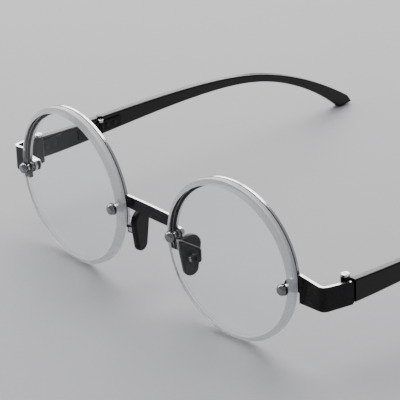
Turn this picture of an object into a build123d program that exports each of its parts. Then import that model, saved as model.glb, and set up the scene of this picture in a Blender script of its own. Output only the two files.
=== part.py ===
from build123d import *
import math
import os

# Half rim eyeglasses. Sizes in millimetres, angles in degrees.
# X runs across the face, with +X on the wearer's left. Y runs from the lenses back to the ears. Z is up.
# The pair stands open on Z = 0, on the bottoms of both lenses and the tips of both temples.

# ---- lenses ----
lens_diameter = 50.0
lens_gap = 20.0  # between the two lenses, at the nose
lens_centre_thickness = 2.1
front_face_radius = 200.0
back_face_radius = 140.0
front_bevel_width = 1.6
front_bevel_depth = 0.9
back_bevel = 0.25
lens_wrap = 3.4  # each lens turns this far back towards the temple
lens_tilt = 3.6  # the lens tops lean this far forward

# ---- lens screws: each lens is held at the nose and at the temple ----
screw_inset = 2.9  # from the lens edge to the hole axis
nasal_screw_height = 1.0
temporal_screw_height = -1.1
screw_radius = 0.7
screw_head_radius = 1.5
screw_head_height = 0.9
screw_slot_width = 0.4
screw_slot_depth = 0.35
screw_engagement = 0.8  # depth of the screw in the cap nut
cap_nut_radius = 1.7
cap_nut_height = 1.35
washer_radius = 1.85
washer_thickness = 0.25
bushing_wall = 0.3
bushing_flange_radius = 1.6
fit_clearance = 0.03  # radial, pieces that stay put
running_clearance = 0.04  # radial, pieces that turn

# ---- brow bars and bridge ----
sheet_thickness = 0.8
bar_gap = 0.12  # between the lens and the bar behind it
bar_width = 2.4
bar_tail = 4.6  # the bar ends this far below the lens centre at the nose
eye_radius = 2.1
bridge_height = 4.2
bridge_end_height = 3.7  # at the brow bars
bridge_rise = 3.45  # bridge middle above the lens centres

# ---- end pieces ----
end_piece_thickness = 0.9
end_piece_top = 2.5  # from the temporal screw up to the top of the bend
end_piece_front_height = 7.9  # at the bend
end_piece_shoulder = 1.3  # the flange stands this much higher at the lens than at the bend
end_piece_rear_height = 7.4
end_piece_rear_drop = 0.4  # middle of the rear end below the hinge's middle
end_piece_flare = 9.0  # the rear leg runs outward by this much
end_piece_bend = 2.0  # outer bend radius
end_piece_corner = 0.9
flange_overlap = 0.6  # the flange starts this far inside the lens edge

# ---- hinges ----
hinge_out = 7.5  # from the lens's outer edge to the fold hinge
hinge_back = 15.3  # from the lenses to the fold hinge
hinge_drop = 2.95  # fold hinge middle below the lens centres, measured along the front
barrel_radius = 1.4
barrel_height = 2.9
arm_barrel_radius = 1.0
arm_barrel_height = 1.0
barrel_gap = 0.06
barrel_relief = 0.2
leaf_thickness = 0.55
leaf_sink = 0.45  # depth of the barrel in the leaf beside it
leaf_length = 7.2
leaf_height = 4.8
arm_leaf_height = 3.1
hinge_screw_radius = 0.65
hinge_head_height = 0.85
pin_radius = 0.5
pin_head_radius = 0.75
pin_head_height = 0.2
pin_depth = 0.9
pin_spacing = 3.0
pin_inset = 1.6

# ---- temples ----
temple_thickness = 2.5
temple_overlap = 0.2  # the inner face lies this far outside the hinge axis
joint_gap = 0.3
end_piece_reach = 1.3  # the end piece runs this far behind the hinge axis
link_length = 25.2  # from the fold hinge to the arm hinge
bend_start = 69.5  # from the fold hinge to the start of the ear bend
bend_radius = 106.0
bend_angle = 34.0
front_height = 7.4
arm_front_height = 6.2
bend_height = 3.75
waist_distance = 27.5  # past the start of the bend
waist_height = 2.65
flare_distance = 50.5  # past the start of the bend
flare_height = 3.1
tip_height = 5.0
tip_straight = 9.6  # top edge, from the end of the bend to the tip's first corner
tip_nose = 3.1  # the tip's point stands this far past that corner
tip_nose_height = 1.3
tip_setback = 1.2  # the bottom corner lies this far before the top one
temple_edge = 0.55
core_thickness = 0.8
core_height = 1.3
core_inset = 1.15  # from the inner face to the core
core_end = 16.0  # the core stops this far past the start of the tip's flare

# ---- nose pads ----
pad_height = 13.6
pad_width = 7.2
pad_foot_radius = 2.4
pad_thickness = 2.2
pad_edge = 0.8
pad_inset = 1.3  # from the lens edge out to the middle of the pad
pad_back = 7.2  # from the lenses back to the middle of the pad
pad_drop = 8.8  # middle of the pad below the lens centres
pad_splay = 10.0
pad_lean = 0.5
box_size = 2.6
box_wall = 0.5
lug_end_clearance = 0.15  # between the round end of the lug and the box
box_clearance = 0.75  # between the box and the back of the pad
lug_side_clearance = 0.12
pad_screw_radius = 0.45
pad_screw_head_radius = 0.8
pad_screw_head_height = 0.35
core_plate_thickness = 0.5
core_plate_radius = 1.7
arm_wire_radius = 0.55
arm_wire_reach = 1.0  # straight run behind the brow bar
arm_wire_bend = 0.8
arm_wire_drop = 4.0  # the wire comes down to the height of the pad box behind it
arm_wire_inset = 1.75  # from the bar's outer edge to the wire's foot

# ---- worked out ----
lens_radius = lens_diameter / 2
lens_centre_x = lens_gap / 2 + lens_radius
hinge_x = lens_gap / 2 + lens_diameter + hinge_out


def sag(radius, r):
    """Depth of a spherical face of this radius at the distance r from its axis."""
    return radius - math.sqrt(radius**2 - r**2)


def front_face(r):
    """Y of a lens's front face, where 0 is the front edge before its bevel."""
    return sag(front_face_radius, r) - sag(front_face_radius, lens_radius)


def back_face(r):
    """Y of a lens's back face."""
    middle = lens_centre_thickness - sag(front_face_radius, lens_radius)
    return middle + sag(back_face_radius, r)


screw_offset = lens_radius - screw_inset
bar_front = back_face(lens_radius) + bar_gap
bar_back = bar_front + sheet_thickness
tab_back = bar_back + end_piece_thickness
bar_inner_radius = lens_radius - bar_width
nut_seat = front_face(screw_offset - washer_radius) - washer_thickness
floor_drop = lens_radius * math.cos(math.radians(lens_tilt))
floor_drop -= front_bevel_depth * math.sin(math.radians(lens_tilt))
leg_offset = barrel_radius - leaf_sink + leaf_thickness  # hinge axis to the end piece's inner face

front_place = Rot(lens_tilt, 0, 0)
lens_place = Pos(lens_centre_x, 0, 0) * Rot(0, 0, lens_wrap)
nasal_screw = (-screw_offset, nasal_screw_height)
temporal_screw = (screw_offset, temporal_screw_height)
fold_place = front_place * Pos(hinge_x, hinge_back, -hinge_drop)


def block(x0, x1, y0, y1, z0, z1):
    """A box between two corners."""
    size = Box(x1 - x0, y1 - y0, z1 - z0)
    return Pos((x0 + x1) / 2, (y0 + y1) / 2, (z0 + z1) / 2) * size


def rod_y(radius, y0, y1, x=0.0, z=0.0):
    """A round bar along Y."""
    return Pos(x, (y0 + y1) / 2, z) * Rot(90, 0, 0) * Cylinder(radius, y1 - y0)


def rod_z(radius, z0, z1):
    """A round bar along Z, on the origin."""
    return Pos(0, 0, (z0 + z1) / 2) * Cylinder(radius, z1 - z0)


def rod_x(radius, x0, x1, y=0.0, z=0.0):
    """A round bar along X."""
    return Pos((x0 + x1) / 2, y, z) * Rot(0, 90, 0) * Cylinder(radius, x1 - x0)


# ---- lenses and what holds them, in the lens's own frame: X outward, Y back ----


def lens():
    """A meniscus disc with a wide front bevel and a screw hole on each side."""
    bevel_radius = lens_radius - front_bevel_width
    back_radius = lens_radius - back_bevel
    rim_back = back_face(lens_radius) - back_bevel
    front_slope = (front_bevel_depth - front_face(bevel_radius)) / front_bevel_width
    back_slope = (back_face(back_radius) - rim_back) / back_bevel
    # both bevels run on past the lens faces, which are then cut as parts of spheres
    front = front_face(0) - 1
    back = back_face(lens_radius) + 1
    outline = Polyline(
        (0, front),
        (lens_radius - (front_bevel_depth - front) / front_slope, front),
        (lens_radius, front_bevel_depth),
        (lens_radius, rim_back),
        (lens_radius - (back - rim_back) / back_slope, back),
        (0, back),
        (0, front),
    )
    body = revolve(make_face(outline), Axis.Y)
    body &= Pos(0, front_face(0) + front_face_radius, 0) * Sphere(front_face_radius)
    body -= Pos(0, back_face(0) + back_face_radius, 0) * Sphere(back_face_radius)
    hole_radius = screw_radius + bushing_wall + 2 * fit_clearance
    for x, z in (nasal_screw, temporal_screw):
        body -= rod_y(hole_radius, -lens_radius, lens_radius, x, z)
    return body


def lens_screw(x, z, head_seat):
    """A slotted screw from behind, through the lugs and the lens into the cap nut."""
    tip = nut_seat - screw_engagement
    head_end = head_seat + screw_head_height
    body = rod_y(screw_radius, tip, head_end, x, z)
    head = rod_y(screw_head_radius, head_seat, head_end, x, z)
    rim = head.edges().filter_by(GeomType.CIRCLE).sort_by(Axis.Y)[-1]
    body += fillet(rim, screw_head_height / 3)
    slot_half = screw_slot_width / 2
    reach = 2 * screw_head_radius
    return body - block(x - slot_half, x + slot_half, head_end - screw_slot_depth, head_end + 1, z - reach, z + reach)


def cap_nut(x, z):
    """A domed nut with a blind hole, on the front of the lens."""
    body = rod_y(cap_nut_radius, nut_seat - cap_nut_height, nut_seat, x, z)
    rim = body.edges().filter_by(GeomType.CIRCLE).sort_by(Axis.Y)[0]
    body = fillet(rim, cap_nut_height * 0.75)
    return body - rod_y(screw_radius + fit_clearance, nut_seat - screw_engagement - fit_clearance, nut_seat + 1, x, z)


def nut_washer(x, z, glass):
    """A soft washer that takes the shape of the lens face under it."""
    body = rod_y(washer_radius, nut_seat, front_face(screw_offset), x, z)
    body -= rod_y(screw_radius + fit_clearance, nut_seat - 1, 1, x, z)
    return body - glass


def lens_bushing(x, z, glass):
    """A clear sleeve in the lens hole, with a flange between the lens and the lug."""
    sleeve = rod_y(screw_radius + fit_clearance + bushing_wall, front_face(screw_offset), bar_front, x, z)
    flange = rod_y(bushing_flange_radius, back_face(screw_offset - bushing_flange_radius), bar_front, x, z)
    body = sleeve + (flange - glass)
    return body - rod_y(screw_radius + fit_clearance, -lens_radius, lens_radius, x, z)


def brow_bar():
    """A flat sheet arch behind the upper half of the lens, with an eye at each screw."""
    ring = rod_y(lens_radius, bar_front, bar_back) - rod_y(bar_inner_radius, bar_front - 1, bar_back + 1)
    reach = 2 * lens_radius
    nasal = block(-reach, 0, bar_front - 1, bar_back + 1, -bar_tail, reach)
    temporal = block(0, reach, bar_front - 1, bar_back + 1, temporal_screw_height, reach)
    body = ring & (nasal + temporal)
    for x, z in (nasal_screw, temporal_screw):
        body += rod_y(eye_radius, bar_front, bar_back, x, z)
    for x, z in (nasal_screw, temporal_screw):
        body -= rod_y(screw_radius + fit_clearance, bar_front - 1, bar_back + 1, x, z)
    return body


# ---- bridge, in the front's frame ----


def bridge():
    """A flat strip, tallest in the middle, that meets the outer edge of each brow bar."""
    nasal_edge = lens_place * Pos(-lens_radius, bar_front, 0)
    half_middle = bridge_height / 2
    half_end = bridge_end_height / 2
    far = lens_gap / 2 + bar_width
    top_left = (-far, bridge_rise + half_end)
    top_right = (far, bridge_rise + half_end)
    bottom_left = (-far, bridge_rise - half_end)
    bottom_right = (far, bridge_rise - half_end)
    outline = ThreePointArc(top_left, (0, bridge_rise + half_middle), top_right)
    outline += Line(top_right, bottom_right)
    outline += ThreePointArc(bottom_right, (0, bridge_rise - half_middle), bottom_left)
    outline += Line(bottom_left, top_left)
    strip = extrude(Plane.XZ * make_face(outline), amount=-sheet_thickness)
    cut = lens_place * rod_y(lens_radius, -lens_radius, lens_radius)
    return Pos(0, nasal_edge.position.Y, 0) * strip - cut - mirror(cut, Plane.YZ)


# ---- end piece and fold hinge, in the front's frame ----


def crossing(p, p_direction, q, q_direction):
    """Where two lines in the XY plane meet."""
    denominator = p_direction.X * q_direction.Y - p_direction.Y * q_direction.X
    gap = q - p
    along = (gap.X * q_direction.Y - gap.Y * q_direction.X) / denominator
    return p + p_direction * along


leg_place = Pos(hinge_x, hinge_back, -hinge_drop) * Rot(0, 0, -end_piece_flare)


def end_piece_corners(face_y, leg_x):
    """Start, corner and end, seen from above, of the face that runs behind the flange and along the leg."""
    along = Vector(math.cos(math.radians(lens_wrap)), math.sin(math.radians(lens_wrap)), 0)
    back = Vector(math.sin(math.radians(end_piece_flare)), math.cos(math.radians(end_piece_flare)), 0)
    start = (lens_place * Pos(lens_radius - flange_overlap, face_y, 0)).position
    end = (leg_place * Pos(leg_x, end_piece_reach, hinge_drop)).position
    return start, crossing(start, along, end, back), end


def end_piece():
    """A bent strip: a flange behind the lens edge, and a leg back to the fold hinge."""
    start, corner, end = end_piece_corners(bar_back, leg_offset + end_piece_thickness)
    inner_start, inner_corner, inner_end = end_piece_corners(tab_back, leg_offset)
    outer = FilletPolyline(start, corner, end, radius=end_piece_bend)
    inner = FilletPolyline(inner_start, inner_corner, inner_end, radius=end_piece_bend - end_piece_thickness)
    outline = Curve() + [outer, Line(end, inner_end), inner, Line(inner_start, start)]
    tall = 4 * end_piece_front_height
    plan = Pos(0, 0, -tall / 2) * extrude(make_face(outline), amount=tall, dir=(0, 0, 1))

    top = temporal_screw_height + end_piece_top
    bottom = top - end_piece_front_height
    shoulder = top + end_piece_shoulder
    rear_top = end_piece_rear_height / 2 - hinge_drop - end_piece_rear_drop
    rear_bottom = rear_top - end_piece_rear_height
    # from the side, the leg narrows evenly from the bend to its end
    side = Polygon(
        (0, bottom),
        (inner_corner.Y, bottom),
        (end.Y, rear_bottom),
        (end.Y, rear_top),
        (inner_corner.Y, top),
        (inner_corner.Y, shoulder),
        (0, shoulder),
        align=None,
    )
    # from the front, the flange comes down from its shoulder at the lens to the bend
    bend_start_x = corner.X - end_piece_bend
    above = Polygon(
        (start.X, shoulder),
        (bend_start_x, top),
        (corner.X + end_piece_bend, top),
        (corner.X + end_piece_bend, tall),
        (start.X, tall),
        align=None,
    )
    side = extrude(Plane.YZ * side, amount=2 * hinge_x)
    above = extrude(Plane.XZ * above, amount=-2 * hinge_x)
    body = (plan & side) - above
    rear_corners = body.edges().filter_by(Axis.Z, reverse=True).group_by(Axis.Y)[-1]
    rear_corners = rear_corners.filter_by(lambda e: e.length < 2 * end_piece_thickness)
    body = fillet(rear_corners, end_piece_corner)

    x, z = temporal_screw
    tab = rod_y(eye_radius, bar_back, tab_back, x, z)
    tab += block(x, lens_radius, bar_back, tab_back, z - eye_radius, z + eye_radius)
    tab -= rod_y(screw_radius + fit_clearance, bar_back - 1, tab_back + 1, x, z)
    return body + lens_place * tab


def barrel(radius, z0, z1, clearance):
    """A hinge barrel on the origin, bored for its screw."""
    return rod_z(radius, z0, z1) - rod_z(hinge_screw_radius + clearance, z0 - 1, z1 + 1)


def outer_barrels(radius, height):
    """The two barrels of a hinge that stand above and below the middle one."""
    low = height / 2 + barrel_gap
    upper = barrel(radius, low, low + height, fit_clearance)
    return upper + mirror(upper, Plane.XY)


def front_leaf():
    """The end piece's half of the fold hinge, in the leg's frame."""
    low = barrel_height / 2 + barrel_gap
    half = leaf_height / 2
    corner, end = end_piece_corners(tab_back, leg_offset)[1:]
    reach = (end - corner).length - end_piece_reach - end_piece_bend
    body = block(leg_offset - leaf_thickness, leg_offset, -reach, barrel_radius / 2, -half, half)
    body += outer_barrels(barrel_radius, barrel_height)
    bore = rod_z(hinge_screw_radius + fit_clearance, -2 * barrel_height, 2 * barrel_height)
    notch = block(-barrel_radius, leg_offset + 1, -barrel_radius - barrel_relief, 2 * barrel_radius, -low, low)
    return body - bore - notch


def hinge_screw(radius, height):
    """A slotted screw that is its hinge's pin, on the origin."""
    top = 1.5 * height + barrel_gap
    body = rod_z(hinge_screw_radius, -top, top + hinge_head_height)
    body += rod_z(radius * 0.85, top, top + hinge_head_height)
    slot_half = screw_slot_width / 2
    return body - block(-radius, radius, -slot_half, slot_half, top + hinge_head_height / 2, top + 1)


# ---- temples, in the temple's own frame: origin on the fold hinge, Y along the temple ----

bend_length = bend_radius * math.radians(bend_angle)


def temple_line(distance):
    """Point of the temple's middle line, and its downward slope in degrees."""
    if distance <= bend_start:
        return distance, 0.0, 0.0
    turned = min((distance - bend_start) / bend_radius, math.radians(bend_angle))
    y = bend_start + bend_radius * math.sin(turned)
    z = bend_radius * (math.cos(turned) - 1)
    straight = max(0.0, distance - bend_start - bend_length)
    return y + straight * math.cos(turned), z - straight * math.sin(turned), math.degrees(turned)


def beside(distance, offset):
    """The point at this offset above the middle line, as (y, z)."""
    y, z, slope = temple_line(distance)
    turned = math.radians(slope)
    return y + offset * math.sin(turned), z + offset * math.cos(turned)


tip_distance = bend_start + bend_length + tip_straight
bottom_corner = beside(tip_distance - tip_setback, -tip_height / 2)
# the temple is pitched so that the lowest corner of its tip stands level with the lens bottoms
drop_to_floor = -floor_drop - fold_place.position.Z
temple_rise = math.degrees(
    math.asin(drop_to_floor / math.hypot(*bottom_corner)) - math.atan2(bottom_corner[1], bottom_corner[0])
)
temple_place = Pos(*fold_place.position) * Rot(temple_rise, 0, 0)
arm_hinge_place = temple_place * Pos(0, link_length, 0)
inner_face = temple_overlap
outer_face = temple_overlap + temple_thickness


def temple_edge_points(side):
    """Points of the temple's upper (side 1) or lower (side -1) edge, from the hinge to the tip."""
    stations = [
        (0.0, front_height),
        (link_length, arm_front_height),
        (bend_start, bend_height),
        (bend_start + waist_distance, waist_height),
        (bend_start + flare_distance, flare_height),
        (tip_distance - (0 if side > 0 else tip_setback), tip_height),
    ]
    return [beside(distance, side * height / 2) for distance, height in stations]


def temple_blank():
    """The whole temple before it is cut at its hinges."""
    top = temple_edge_points(1)
    bottom = temple_edge_points(-1)
    nose = beside(tip_distance + tip_nose, tip_nose_height)
    outline = Curve() + [
        Spline(*top),
        Polyline(top[-1], nose, bottom[-1]),
        Spline(*bottom[::-1]),
        Line(bottom[0], top[0]),
    ]
    body = Pos(inner_face, 0, 0) * extrude(Plane.YZ * make_face(outline), amount=temple_thickness)
    long_edges = body.edges().filter_by(GeomType.BSPLINE)
    return fillet(long_edges, temple_edge)


def relief(radius):
    """Room for a hinge's barrels to turn in."""
    return rod_z(radius + barrel_relief, -front_height, front_height)


def leaf_pins(direction, start, clearance=0.0):
    """Two headed pins that hold a leaf to the temple's inner face. direction is 1 behind the hinge, -1 before it."""
    leaf_face = inner_face - leaf_thickness
    pins = []
    for count in range(2):
        y = direction * (start + pin_inset + count * pin_spacing)
        pin = rod_x(pin_radius + clearance, leaf_face, inner_face + pin_depth + clearance, y)
        pins.append(pin + rod_x(pin_head_radius + clearance, leaf_face - pin_head_height, leaf_face, y))
    return pins


def temple_leaf(radius, height, plate_height):
    """The half of a hinge with the middle barrel, its leaf on the inner face behind the hinge."""
    start = radius + barrel_relief
    half = plate_height / 2
    leaf_face = inner_face - leaf_thickness
    body = block(leaf_face, inner_face, start, start + leaf_length, -half, half)
    body += block(leaf_face, inner_face, 0, start, -height / 2, height / 2)
    body += rod_z(radius, -height / 2, height / 2)
    return body - rod_z(hinge_screw_radius + running_clearance, -height, height)


def link_rear_leaf():
    """The half of the arm hinge with the outer barrels, its leaf on the link's inner face."""
    low = arm_barrel_height / 2 + barrel_gap
    half = arm_leaf_height / 2
    start = arm_barrel_radius + barrel_relief
    leaf_face = inner_face - leaf_thickness
    body = block(leaf_face, inner_face, -start - leaf_length, 0, -half, half)
    body += outer_barrels(arm_barrel_radius, arm_barrel_height)
    body -= rod_z(hinge_screw_radius + fit_clearance, -2 * half, 2 * half)
    return body - block(-start, start, -start, start, -low, low)


def arm_core():
    """A flat steel core in the arm, along its middle line."""
    first = link_length + joint_gap / 2
    last = bend_start + flare_distance + core_end
    distances = [first, bend_start, bend_start + bend_length / 2, bend_start + bend_length, last]
    half = core_height / 2
    top = [beside(d, half) for d in distances]
    bottom = [beside(d, -half) for d in distances]
    middle = bend_start + bend_length / 2
    outline = Curve() + [
        Line(top[0], top[1]),
        ThreePointArc(top[1], beside(middle, half), top[3]),
        Line(top[3], top[4]),
        Line(top[4], bottom[4]),
        Line(bottom[4], bottom[3]),
        ThreePointArc(bottom[3], beside(middle, -half), bottom[1]),
        Line(bottom[1], bottom[0]),
        Line(bottom[0], top[0]),
    ]
    x = inner_face + core_inset
    return Pos(x, 0, 0) * extrude(Plane.YZ * make_face(outline), amount=core_thickness)


# ---- nose pad, in the pad's own frame: X towards the nose, Y forward, Z up, origin in the pad ----

pad_place = Pos(lens_gap / 2 + pad_inset, pad_back, -pad_drop) * Rot(0, 0, 180 - pad_splay) * Rot(0, pad_lean, 0)
lug_half = box_size / 2 - box_wall - lug_side_clearance
box_mouth = -pad_thickness / 2 - box_clearance
pad_axis_x = box_mouth - lug_half
box_back = pad_axis_x - lug_half - lug_end_clearance - box_wall


def pad_outline():
    """A drop with its point down: two circles and the lines that touch both."""
    head = pad_width / 2
    foot = pad_foot_radius
    head_z = pad_height / 2 - head
    foot_z = foot - pad_height / 2
    touch = -math.asin((head - foot) / (head_z - foot_z))
    across, up = math.cos(touch), math.sin(touch)
    head_right = (head * across, head_z + head * up)
    head_left = (-head * across, head_z + head * up)
    foot_right = (foot * across, foot_z + foot * up)
    foot_left = (-foot * across, foot_z + foot * up)
    outline = Curve() + [
        ThreePointArc(head_left, (0, head_z + head), head_right),
        Line(head_right, foot_right),
        ThreePointArc(foot_right, (0, foot_z - foot), foot_left),
        Line(foot_left, head_left),
    ]
    return make_face(outline)


def nose_pad():
    """A soft drop-shaped pad with rounded edges, moulded over its metal core."""
    body = extrude(Plane.YZ * pad_outline(), amount=pad_thickness)
    body = Pos(-pad_thickness / 2, 0, 0) * body
    flat = body.faces().filter_by(Axis.X)
    body = fillet(flat.edges(), pad_edge)
    return body - pad_core()


def pad_core():
    """The metal plate inside the pad and the lug that hangs on the pad screw."""
    plate = rod_x(core_plate_radius, -core_plate_thickness / 2, core_plate_thickness / 2)
    lug = block(pad_axis_x, 0, -lug_half, lug_half, -lug_half, lug_half)
    lug += rod_y(lug_half, -lug_half, lug_half, pad_axis_x, 0)
    return plate + lug - rod_y(pad_screw_radius + running_clearance, -box_size, box_size, pad_axis_x, 0)


def pad_box():
    """A small open box that holds the pad's lug between its cheeks."""
    half = box_size / 2
    body = block(box_back, box_mouth, -half, half, -half, half)
    body -= block(box_back + box_wall, box_mouth + 1, box_wall - half, half - box_wall, -half - 1, half + 1)
    return body - rod_y(pad_screw_radius + fit_clearance, -box_size, box_size, pad_axis_x, 0)


def pad_screw():
    """A small slotted screw through the box's cheeks and the lug."""
    half = box_size / 2
    end = half + pad_screw_head_height
    body = rod_y(pad_screw_radius, -half, end, pad_axis_x, 0)
    body += rod_y(pad_screw_head_radius, half, end, pad_axis_x, 0)
    slot_half = screw_slot_width / 4
    reach = pad_screw_head_radius
    x = pad_axis_x
    return body - block(x - slot_half, x + slot_half, end - pad_screw_head_height / 2, end + 1, -reach, reach)


def pad_arm():
    """A bent wire from the brow bar's tail to the back of the pad box, in the front's frame."""
    foot_radius = lens_radius - arm_wire_inset
    foot_z = (nasal_screw_height - eye_radius - bar_tail) / 2
    foot_x = -math.sqrt(foot_radius**2 - foot_z**2)
    start = (lens_place * Pos(foot_x, bar_back, foot_z)).position
    knee = (lens_place * Pos(foot_x, bar_back + arm_wire_reach, foot_z)).position
    end = (pad_place * Pos(box_back, 0, 0)).position
    elbow = (pad_place * Pos(box_back - 2 * arm_wire_bend, 0, 0)).position
    shoulder = elbow + Vector(0, 0, arm_wire_drop)
    path = FilletPolyline(start, knee, shoulder, elbow, end, radius=arm_wire_bend)
    section = Plane(origin=start, z_dir=knee - start) * Circle(arm_wire_radius)
    return sweep(section, path=path)


# ---- assembly ----


def left_side():
    """Every piece on the wearer's left, by name, before the pair is set on the floor."""
    glass = lens()
    front = {
        "lens": lens_place * glass,
        "brow_bar": lens_place * brow_bar(),
        "end_piece": end_piece(),
        "front_hinge_leaf": leg_place * front_leaf(),
        "fold_hinge_screw": leg_place * hinge_screw(barrel_radius, barrel_height),
        "pad_arm": pad_arm(),
        "pad_box": pad_place * pad_box(),
        "pad_screw": pad_place * pad_screw(),
        "nose_pad": pad_place * nose_pad(),
        "pad_core": pad_place * pad_core(),
    }
    for name, (x, z), seat in (("nasal", nasal_screw, bar_back), ("temporal", temporal_screw, tab_back)):
        front[f"{name}_lens_screw"] = lens_place * lens_screw(x, z, seat)
        front[f"{name}_cap_nut"] = lens_place * cap_nut(x, z)
        front[f"{name}_nut_washer"] = lens_place * nut_washer(x, z, glass)
        front[f"{name}_lens_bushing"] = lens_place * lens_bushing(x, z, glass)
    pieces = {name: front_place * piece for name, piece in front.items()}
    pieces.update(temple_pieces())
    return pieces


def temple_pieces():
    """The left temple: a front link, an arm that folds behind it, and their hinge pieces."""
    reach = 2 * tip_distance
    blank = temple_place * temple_blank()
    # cut square to the fold hinge at the front, and square to the temple at the arm hinge
    behind_fold = fold_place * block(-reach, reach, end_piece_reach + joint_gap, reach, -reach, reach)
    before_arm = arm_hinge_place * block(-reach, reach, -reach, -joint_gap / 2, -reach, reach)
    behind_arm = arm_hinge_place * block(-reach, reach, joint_gap / 2, reach, -reach, reach)
    fold_relief = fold_place * relief(barrel_radius)
    arm_relief = arm_hinge_place * relief(arm_barrel_radius)
    fold_start = barrel_radius + barrel_relief
    arm_start = arm_barrel_radius + barrel_relief

    link = (blank & behind_fold & before_arm) - fold_relief - arm_relief
    arm = (blank & behind_arm) - arm_relief
    core = temple_place * arm_core()
    arm -= core

    front_pins = leaf_pins(1, fold_start)
    rear_pins = leaf_pins(-1, arm_start)
    arm_pins = leaf_pins(1, arm_start)
    link_front_leaf = fold_place * temple_leaf(barrel_radius, barrel_height, leaf_height)
    link_rear = arm_hinge_place * link_rear_leaf()
    arm_leaf = arm_hinge_place * temple_leaf(arm_barrel_radius, arm_barrel_height, arm_leaf_height)
    for hole in leaf_pins(1, fold_start, fit_clearance):
        link -= fold_place * hole
        link_front_leaf -= fold_place * hole
    for hole in leaf_pins(-1, arm_start, fit_clearance):
        link -= arm_hinge_place * hole
        link_rear -= arm_hinge_place * hole
    for hole in leaf_pins(1, arm_start, fit_clearance):
        arm -= arm_hinge_place * hole
        arm_leaf -= arm_hinge_place * hole
    return {
        "temple_link": link,
        "temple_arm": arm,
        "arm_core": core,
        "link_front_leaf": link_front_leaf,
        "link_rear_leaf": link_rear,
        "arm_hinge_leaf": arm_leaf,
        "link_pins": [fold_place * p for p in front_pins] + [arm_hinge_place * p for p in rear_pins],
        "arm_pins": [arm_hinge_place * p for p in arm_pins],
        "arm_hinge_screw": arm_hinge_place * hinge_screw(arm_barrel_radius, arm_barrel_height),
    }


def solids_of(piece):
    """A piece as a plain list of its solids."""
    if isinstance(piece, list):
        return [s for p in piece for s in p.solids()]
    return list(piece.solids())


# these are the same fastener on both sides, so they share one node
shared = {
    "lens_screws": ("nasal_lens_screw", "temporal_lens_screw"),
    "cap_nuts": ("nasal_cap_nut", "temporal_cap_nut"),
    "nut_washers": ("nasal_nut_washer", "temporal_nut_washer"),
    "lens_bushings": ("nasal_lens_bushing", "temporal_lens_bushing"),
    "fold_hinge_screws": ("fold_hinge_screw",),
    "pad_screws": ("pad_screw",),
}


def all_nodes():
    """Every node's solids, on both sides, before the pair is set on the floor."""
    left = left_side()
    nodes = {"bridge": solids_of(front_place * bridge())}
    grouped = [name for names in shared.values() for name in names]
    for node, names in shared.items():
        left_solids = [s for name in names for s in solids_of(left[name])]
        nodes[node] = left_solids + [mirror(s, Plane.YZ) for s in left_solids]
    for name, piece in left.items():
        if name not in grouped:
            nodes[f"left_{name}"] = solids_of(piece)
            nodes[f"right_{name}"] = [mirror(s, Plane.YZ) for s in solids_of(piece)]
    return nodes


nodes = all_nodes()
whole = Compound([s for solids in nodes.values() for s in solids]).bounding_box()
floor_place = Pos(0, -(whole.min.Y + whole.max.Y) / 2, floor_drop)

os.makedirs("parts", exist_ok=True)
for node, solids in nodes.items():
    placed = [floor_place * s for s in solids]
    shape = placed[0] if len(placed) == 1 else Compound(placed)
    shape.label = node
    export_step(shape, f"parts/{node}.step")
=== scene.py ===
import math

import bpy
import numpy as np
from mathutils import Matrix, Vector


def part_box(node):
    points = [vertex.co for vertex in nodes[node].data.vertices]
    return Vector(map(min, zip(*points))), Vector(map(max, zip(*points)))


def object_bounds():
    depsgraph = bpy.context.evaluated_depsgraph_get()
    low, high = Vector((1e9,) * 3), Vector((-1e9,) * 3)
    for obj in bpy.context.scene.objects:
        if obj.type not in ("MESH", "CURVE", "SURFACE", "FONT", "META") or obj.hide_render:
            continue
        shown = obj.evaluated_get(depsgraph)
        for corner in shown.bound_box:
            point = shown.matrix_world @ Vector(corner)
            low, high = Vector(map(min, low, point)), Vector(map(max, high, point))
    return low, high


# Half rim eyeglasses: materials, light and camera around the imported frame. Everything is in metres.

MM = 0.001

# ---- camera: the photographed angle, about the middle of the bridge ----
CAMERA_AZIMUTH = 47.07
CAMERA_ELEVATION = 24.32
CAMERA_ROLL = 0.61
CAMERA_DISTANCE = 852.7 * MM
CAMERA_LENS = 259.8  # millimetres, on a sensor 36 mm wide
AIM_FROM_BRIDGE = Vector((8.6, 12.0, 2.9)) * MM

# ---- lenses ----
BEVEL_WIDTH = 1.6 * MM
BACK_BEVEL = 0.25 * MM
LENS_IOR = 1.16  # stands in for an anti-reflection coat; a real lens is 1.5 or more
RIM_BAND = 0.2 * MM  # vertices this close to the greatest radius belong to the lens's rim

# ---- studio ----
FLOOR_SIZE = 6.0
WORLD_COLOUR = (0.86, 0.88, 0.92, 1.0)
WORLD_STRENGTH = 0.35
LIGHTS = (  # name, direction from the pair, distance, width and height, watts
    ("top_light", (-0.35, 0.35, 1.0), 0.9, (0.9, 0.6), 9.0),
    ("left_light", (-1.0, -0.5, 0.55), 0.9, (0.35, 0.6), 3.5),
    ("back_light", (-0.667, 0.62, 0.41), 1.0, (1.0, 0.6), 9.0),
)

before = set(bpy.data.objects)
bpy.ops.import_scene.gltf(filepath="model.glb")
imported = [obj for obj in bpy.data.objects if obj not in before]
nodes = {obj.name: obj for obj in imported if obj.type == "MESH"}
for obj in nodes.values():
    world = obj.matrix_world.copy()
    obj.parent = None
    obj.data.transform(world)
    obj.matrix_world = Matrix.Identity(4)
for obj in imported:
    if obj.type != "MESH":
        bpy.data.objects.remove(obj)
cad_low, cad_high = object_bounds()


# ---- shader building ----


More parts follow.
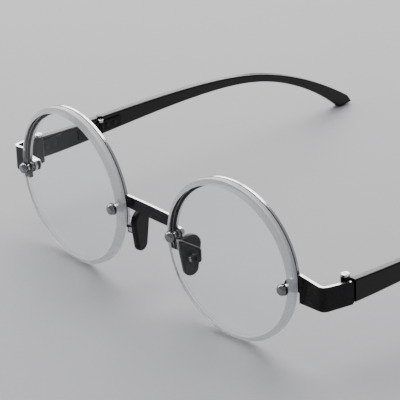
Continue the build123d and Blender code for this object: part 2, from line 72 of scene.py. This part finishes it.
class Shader:
    """A new material with one Principled shader, and short ways to add nodes to it."""

    def __init__(self, name, **sockets):
        self.material = bpy.data.materials.new(name)
        self.material.use_nodes = True
        self.tree = self.material.node_tree
        self.surface = self.tree.nodes["Principled BSDF"]
        for socket, value in sockets.items():
            self.surface.inputs[socket.replace("_", " ")].default_value = value
        self.place = self.add("ShaderNodeTexCoord").outputs["Object"]

    def add(self, kind, settings=None, **inputs):
        """A node. Inputs are values or outputs of other nodes; a number in a name picks a socket by place."""
        node = self.tree.nodes.new(kind)
        for key, value in (settings or {}).items():
            setattr(node, key, value)
        for key, value in inputs.items():
            socket = node.inputs[int(key[1:])] if key[1:].isdigit() else node.inputs[key.replace("_", " ")]
            self.feed(socket, value)
        return node

    def feed(self, socket, value):
        if isinstance(value, bpy.types.NodeSocket):
            self.tree.links.new(value, socket)
        else:
            socket.default_value = value

    def math(self, operation, a, b=0.0, clamp=False):
        """One arithmetic step."""
        settings = {"operation": operation, "use_clamp": clamp}
        return self.add("ShaderNodeMath", settings, i0=a, i1=b).outputs[0]

    def vector(self, operation, a, b, output="Vector"):
        """One step of vector arithmetic."""
        return self.add("ShaderNodeVectorMath", {"operation": operation}, i0=a, i1=b).outputs[output]

    def ramp(self, value, low, high, start=0.0, end=1.0):
        """value from start to end, turned smoothly into low to high."""
        settings = {"interpolation_type": "SMOOTHSTEP"}
        node = self.add("ShaderNodeMapRange", settings, Value=value)
        for socket, number in (("From Min", start), ("From Max", end), ("To Min", low), ("To Max", high)):
            node.inputs[socket].default_value = number
        return node.outputs["Result"]

    def noise(self, size, detail=3.0, stretch=(1.0, 1.0, 1.0), place=None):
        """Noise whose features are about this size. stretch makes them longer along an axis."""
        scale = Vector([1 / (size * s) for s in stretch])
        scaled = self.vector("MULTIPLY", self.place if place is None else place, scale)
        return self.add("ShaderNodeTexNoise", Vector=scaled, Scale=1.0, Detail=detail).outputs["Fac"]

    def mix(self, mask, a, b):
        """Colour a where mask is 0, and b where it is 1."""
        node = self.add("ShaderNodeMix", {"data_type": "RGBA"}, i0=mask)
        self.feed(node.inputs[6], a)
        self.feed(node.inputs[7], b)
        return node.outputs[2]

    def bump(self, height, depth, strength=1.0):
        """A bump of this real depth for a height from 0 to 1."""
        node = self.add("ShaderNodeBump", Height=height, Strength=strength, Distance=depth)
        self.feed(self.surface.inputs["Normal"], node.outputs["Normal"])

    def set(self, socket, value):
        self.feed(self.surface.inputs[socket], value)


def grey(value, blue=1.0):
    """A grey, with a little more or less blue."""
    return (value, value, value * blue, 1.0)


# ---- metals ----


def fine_wear(shader, low, high, size=0.6 * MM, floor=0.35, ceiling=0.65):
    """Roughness that drifts between two values, as handled metal does."""
    broad = shader.noise(6 * size, 2.0)
    fine = shader.noise(size, 4.0)
    both = shader.math("ADD", shader.math("MULTIPLY", broad, 0.6), shader.math("MULTIPLY", fine, 0.4))
    shader.set("Roughness", shader.ramp(both, low, high, floor, ceiling))
    return fine


def sheet_edge(shader, thickness_axis):
    """1 on the cut edges of a sheet whose faces point along thickness_axis, and 0 on those faces."""
    normal = shader.add("ShaderNodeNewGeometry").outputs["True Normal"]
    turned = shader.add("ShaderNodeVectorTransform", {"vector_type": "NORMAL"}, Vector=normal)
    turned.convert_from = "WORLD"
    turned.convert_to = "OBJECT"
    facing = shader.vector("DOT_PRODUCT", turned.outputs["Vector"], thickness_axis, "Value")
    return shader.ramp(shader.math("ABSOLUTE", facing), 1.0, 0.0, 0.45, 0.6)


def upright_edge(shader):
    """1 on faces that look up or down, and 0 on upright ones."""
    normal = shader.add("ShaderNodeNewGeometry").outputs["True Normal"]
    turned = shader.add("ShaderNodeVectorTransform", {"vector_type": "NORMAL"}, Vector=normal)
    turned.convert_from = "WORLD"
    turned.convert_to = "OBJECT"
    height = shader.add("ShaderNodeSeparateXYZ", Vector=turned.outputs["Vector"]).outputs["Z"]
    return shader.ramp(shader.math("ABSOLUTE", height), 0.0, 1.0, 0.6, 0.8)


def black_plate(name, thickness_axis=None):
    """Gloss black plated sheet, with a painted highlight: its cut edges are given bright metal colour."""
    shader = Shader(name, Specular_IOR_Level=0.3, Coat_Weight=0.06, Coat_Roughness=0.08)
    edge = upright_edge(shader) if thickness_axis is None else sheet_edge(shader, thickness_axis)
    scratches = shader.noise(0.12 * MM, 3.0, stretch=(9.0, 9.0, 1.0))
    tone = shader.mix(shader.noise(2.5 * MM), grey(0.005, 1.1), grey(0.012, 1.1))
    # painted highlight: bright grey metal colour (0.72) on the cut edges stands in for the light that the
    # thin edges catch
    shader.set("Base Color", shader.mix(edge, tone, grey(0.72)))
    worn = shader.ramp(scratches, 0.16, 0.3, 0.35, 0.7)
    polished = shader.ramp(scratches, 0.14, 0.26, 0.3, 0.7)
    shader.set("Roughness", shader.add("ShaderNodeMix", i0=edge, i2=worn, i3=polished).outputs[0])
    shader.set("Metallic", shader.ramp(edge, 0.35, 1.0))
    shader.bump(scratches, 0.004 * MM, 0.5)
    return shader.material


def bright_steel(name, base=0.72, low=0.14, high=0.32):
    """Turned steel of the small screws and pins."""
    shader = Shader(name, Metallic=1.0)
    fine = fine_wear(shader, low, high, 0.25 * MM)
    shader.set("Base Color", shader.mix(fine, grey(base * 0.82), grey(base * 1.1, 1.01)))
    shader.bump(fine, 0.006 * MM, 0.5)
    return shader.material


def black_chrome(name):
    """The domed cap nuts: dark, mirror-like, with faint polishing marks."""
    shader = Shader(name, Metallic=1.0)
    fine = fine_wear(shader, 0.06, 0.16, 0.35 * MM)
    shader.set("Base Color", shader.mix(fine, grey(0.22, 1.04), grey(0.36, 1.04)))
    shader.bump(fine, 0.003 * MM, 0.4)
    return shader.material


def dark_plate(name, base=0.014):
    """Satin black plated hinge leaves."""
    shader = Shader(name, Metallic=0.5, Specular_IOR_Level=0.25)
    fine = fine_wear(shader, 0.28, 0.45, 0.2 * MM)
    shader.set("Base Color", shader.mix(fine, grey(base * 0.7, 1.05), grey(base * 1.5, 1.05)))
    shader.bump(fine, 0.006 * MM, 0.6)
    return shader.material


# ---- plastics ----


def black_acetate(name):
    """Polished black plastic with faint drawn lines along it and soft handling marks."""
    shader = Shader(name, IOR=1.5, Specular_IOR_Level=0.3, Coat_Weight=0.06, Coat_Roughness=0.08)
    drawn = shader.noise(0.35 * MM, 3.0, stretch=(1.0, 40.0, 1.0))
    clouds = shader.noise(9 * MM, 2.0)
    shader.set("Base Color", shader.mix(clouds, (0.004, 0.0038, 0.0042, 1.0), (0.010, 0.0085, 0.009, 1.0)))
    fine_wear(shader, 0.13, 0.27, 1.2 * MM)
    shader.bump(drawn, 0.012 * MM, 0.35)
    return shader.material


def silicone(name):
    """Smooth black silicone with a fine moulded texture."""
    shader = Shader(name, IOR=1.42, Specular_IOR_Level=0.35)
    grain = shader.noise(0.18 * MM, 4.0)
    shader.set("Base Color", shader.mix(shader.noise(1.5 * MM), grey(0.006), grey(0.014)))
    shader.set("Roughness", shader.ramp(grain, 0.26, 0.42, 0.3, 0.7))
    shader.bump(grain, 0.012 * MM, 0.5)
    return shader.material


def soft_washer(name):
    """Dull dark plastic."""
    shader = Shader(name, IOR=1.45)
    grain = shader.noise(0.15 * MM, 3.0)
    shader.set("Base Color", shader.mix(grain, grey(0.02), grey(0.05)))
    shader.set("Roughness", shader.ramp(grain, 0.4, 0.6, 0.3, 0.7))
    shader.bump(grain, 0.01 * MM, 0.4)
    return shader.material


def clear_plastic(name):
    """The clear sleeves round the lens screws."""
    shader = Shader(name, IOR=1.49, Transmission_Weight=1.0)
    cloud = shader.noise(0.3 * MM, 3.0)
    shader.set("Base Color", shader.mix(cloud, grey(0.88), grey(0.97)))
    shader.set("Roughness", shader.ramp(cloud, 0.04, 0.16, 0.3, 0.7))
    return shader.material


# ---- lenses ----


def lens_rim(name):
    """Centre, axis (pointing back) and radius of a lens's rim, and half the rim's thickness."""
    lens = nodes[name]
    points = np.array([v.co for v in lens.data.vertices], float)
    low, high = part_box(name)
    distance = np.linalg.norm(points - np.array((low + high) / 2), axis=1)
    rim = points[distance > distance.max() - RIM_BAND]
    centre = (rim.min(axis=0) + rim.max(axis=0)) / 2
    axis = np.linalg.svd(rim - rim.mean(axis=0))[2][2]
    axis = axis if axis[1] > 0 else -axis
    along = (rim - centre) @ axis
    across = np.linalg.norm(rim - centre - np.outer(along, axis), axis=1)
    return Vector(centre), Vector(axis), float(across.max()), float(along.max())


def lens_material(name):
    """Clear polished faces, and a satin ground edge and bevel with grinding marks round it."""
    centre, axis, radius, half = lens_rim(name)
    shader = Shader(f"{name}_clear", IOR=LENS_IOR)
    offset = shader.vector("SUBTRACT", shader.place, centre)
    along = shader.vector("DOT_PRODUCT", offset, axis, "Value")
    back = shader.add("ShaderNodeVectorMath", {"operation": "SCALE"}, i0=axis, Scale=along).outputs[0]
    across = shader.vector("SUBTRACT", offset, back)
    reach = shader.vector("LENGTH", across, (0, 0, 0), "Value")

    on_bevel = shader.math("GREATER_THAN", reach, radius - BEVEL_WIDTH)
    before_back = shader.math("LESS_THAN", along, half)
    on_back_bevel = shader.math("GREATER_THAN", reach, radius - BACK_BEVEL)
    ground = shader.math("MULTIPLY", on_bevel, shader.math("MAXIMUM", before_back, on_back_bevel))

    marks_place = shader.add("ShaderNodeCombineXYZ", X=along, Y=reach).outputs["Vector"]
    marks = shader.noise(0.12 * MM, 3.0, place=marks_place)
    mottle = shader.noise(0.5 * MM, 4.0)
    smears = shader.noise(9 * MM, 4.0, stretch=(1.0, 1.0, 2.5))

    satin = shader.ramp(mottle, 0.26, 0.46, 0.3, 0.7)
    polished = shader.ramp(smears, 0.0, 0.03, 0.5, 0.75)
    shader.set("Roughness", shader.add("ShaderNodeMix", i0=ground, i2=polished, i3=satin).outputs[0])
    shader.set("Transmission Weight", shader.ramp(ground, 1.0, 0.3))
    frost = shader.mix(marks, grey(0.84, 1.02), grey(0.97, 1.01))
    shader.set("Base Color", shader.mix(ground, (0.975, 0.985, 0.985, 1.0), frost))
    height = shader.math("MULTIPLY", ground, shader.math("ADD", marks, mottle))
    shader.bump(height, 0.008 * MM, 0.5)
    return shader.material


# ---- which piece has which material ----


def give(material, names):
    """The CAD nodes keep their shape and take this material."""
    for name in names:
        mesh = nodes[name].data
        mesh.materials.clear()
        mesh.materials.append(material)


def both(*names):
    """The same pieces on the left and on the right."""
    return [f"{side}_{name}" for side in ("left", "right") for name in names]


def dress():
    """Every CAD node's material."""
    for name in both("lens"):
        give(lens_material(name), [name])
    for side in ("left", "right"):
        axis = lens_rim(f"{side}_lens")[1]
        give(black_plate(f"{side}_bar_plate", axis), [f"{side}_brow_bar"])
    # the bridge and end pieces carry the painted highlight on their faces that look up or down
    give(black_plate("strip_plate"), ["bridge"] + both("end_piece"))
    shared_screws = ["lens_screws", "pad_screws", "fold_hinge_screws"]
    give(bright_steel("screw_steel"), shared_screws + both("arm_hinge_screw"))
    give(dark_plate("pin_plate", 0.03), both("link_pins", "arm_pins"))
    give(dark_plate("pad_fitting", 0.02), both("pad_arm", "pad_box"))
    give(bright_steel("core_steel", 0.55, 0.25, 0.4), both("arm_core", "pad_core"))
    give(black_chrome("nut_chrome"), ["cap_nuts"])
    give(soft_washer("washer_plastic"), ["nut_washers"])
    give(clear_plastic("sleeve_plastic"), ["lens_bushings"])
    leaves = both("front_hinge_leaf", "link_front_leaf", "link_rear_leaf", "arm_hinge_leaf")
    give(dark_plate("hinge_plate"), leaves)
    give(black_acetate("temple_acetate"), both("temple_link", "temple_arm"))
    give(silicone("pad_silicone"), both("nose_pad"))


# ---- studio ----


def floor():
    """A plain pale floor, wide enough to have no edge in view."""
    bpy.ops.mesh.primitive_plane_add(size=FLOOR_SIZE, location=(0, 0, cad_low.z))
    plane = bpy.context.object
    plane.name = "floor"
    shader = Shader("floor_paint", Roughness=0.6)
    tone = shader.noise(120 * MM, 2.0)
    shader.set("Base Color", shader.mix(tone, grey(0.35, 1.04), grey(0.39, 1.04)))
    plane.data.materials.append(shader.material)


def soft_light(name, direction, distance, size, power):
    """A soft box that looks at the middle of the pair from this direction."""
    middle = (cad_low + cad_high) / 2
    light = bpy.data.lights.new(name, "AREA")
    light.shape = "RECTANGLE"
    light.size, light.size_y = size
    light.energy = power
    lamp = bpy.data.objects.new(name, light)
    bpy.context.collection.objects.link(lamp)
    way = Vector(direction).normalized()
    lamp.location = middle + way * distance
    lamp.rotation_euler = way.to_track_quat("Z", "Y").to_euler()


def studio():
    """Soft pale surroundings, a large top light, one from the left and one from behind."""
    world = bpy.data.worlds.new("studio")
    world.use_nodes = True
    background = world.node_tree.nodes["Background"]
    background.inputs["Color"].default_value = WORLD_COLOUR
    background.inputs["Strength"].default_value = WORLD_STRENGTH
    bpy.context.scene.world = world
    for light in LIGHTS:
        soft_light(*light)


def camera():
    """The camera stands at the photographed angle and looks past the bridge."""
    azimuth, elevation = math.radians(CAMERA_AZIMUTH), math.radians(CAMERA_ELEVATION)
    low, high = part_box("bridge")
    aim = (low + high) / 2 + AIM_FROM_BRIDGE
    level = math.cos(elevation)
    back = Vector((math.sin(azimuth) * level, -math.cos(azimuth) * level, math.sin(elevation)))
    data = bpy.data.cameras.new("camera")
    data.lens = CAMERA_LENS
    data.clip_start = 0.01
    data.clip_end = 50.0
    eye = bpy.data.objects.new("camera", data)
    bpy.context.collection.objects.link(eye)
    turn = (-back).to_track_quat("-Z", "Y").to_matrix()
    roll = Matrix.Rotation(math.radians(CAMERA_ROLL), 3, "Z")
    eye.matrix_world = Matrix.Translation(aim + back * CAMERA_DISTANCE) @ (turn @ roll).to_4x4()
    bpy.context.scene.camera = eye


dress()
floor()
studio()
camera()
